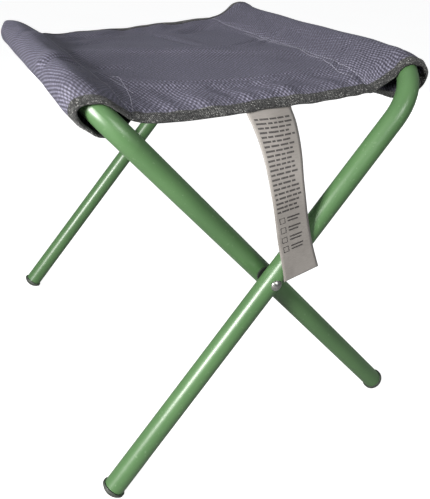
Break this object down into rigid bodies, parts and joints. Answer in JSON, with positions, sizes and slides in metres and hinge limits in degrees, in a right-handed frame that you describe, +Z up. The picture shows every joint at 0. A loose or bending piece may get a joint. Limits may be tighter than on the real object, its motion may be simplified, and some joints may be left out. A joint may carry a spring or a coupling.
{
  "type": "camp stool",
  "caption": "Folding X-frame camp stool: two riveted U-shaped tubes with a slung cloth seat, sleeves over the top tubes and domed foot caps.",
  "frame": {"origin": "on the ground, under the middle of the open stool", "axes": "+X across the fold from the inner frame's top tube to the outer frame's, +Y along the top tubes towards the back, +Z up"},
  "size_m": [0.3012, 0.3838, 0.3461],
  "materials": {
    "green_tube": "gloss enamel on steel tube",
    "foot_cap": "moulded matt plastic",
    "rivet": "plated steel",
    "spacer": "moulded matt plastic",
    "seat_cloth": "coated twill weave",
    "binding": "woven tape",
    "thread": "sewing thread",
    "label": "printed satin tape"
  },
  "bodies": {
    "outer_frame": {"outer_tube": "green_tube", "outer_foot_cap_front": "foot_cap", "outer_foot_cap_back": "foot_cap", "rivet_front": "rivet", "rivet_back": "rivet", "spacer_washer_front": "spacer", "spacer_washer_back": "spacer", "backing_washer_front": "rivet", "backing_washer_back": "rivet"},
    "inner_frame": {"inner_tube": "green_tube", "inner_foot_cap_front": "foot_cap", "inner_foot_cap_back": "foot_cap"},
    "seat": {"seat_sheet": "seat_cloth", "front_edge_binding": "binding", "back_edge_binding": "binding", "outer_sleeve_end_bindings": "binding", "outer_seam_thread": "thread", "care_label": "label"},
    "inner_sleeve_body": {"inner_sleeve": "seat_cloth", "inner_sleeve_end_bindings": "binding", "inner_seam_thread": "thread"}
  },
  "joints": [
    {"name": "frame_fold", "type": "hinge", "parent": "outer_frame", "child": "inner_frame", "pos_m": [0, 0, 0.1725], "axis": [0, 1, 0], "range_deg": [0, 74], "deforming": ["care_label"]},
    {"name": "seat_swing", "type": "hinge", "parent": "outer_frame", "child": "seat", "pos_m": [0.139, 0, 0.3345], "axis": [0, -1, 0], "range_deg": [0, 46], "deforming": ["care_label"]},
    {"name": "sleeve_turn", "type": "hinge", "parent": "inner_frame", "child": "inner_sleeve_body", "pos_m": [-0.139, 0, 0.3345], "axis": [0, 1, 0], "range_deg": [0, 45], "deforming": ["care_label"]}
  ],
  "couplings": [
    {"joint": "seat_swing", "follows": "frame_fold", "ratio": 0.62},
    {"joint": "sleeve_turn", "follows": "frame_fold", "ratio": 0.6}
  ]
}
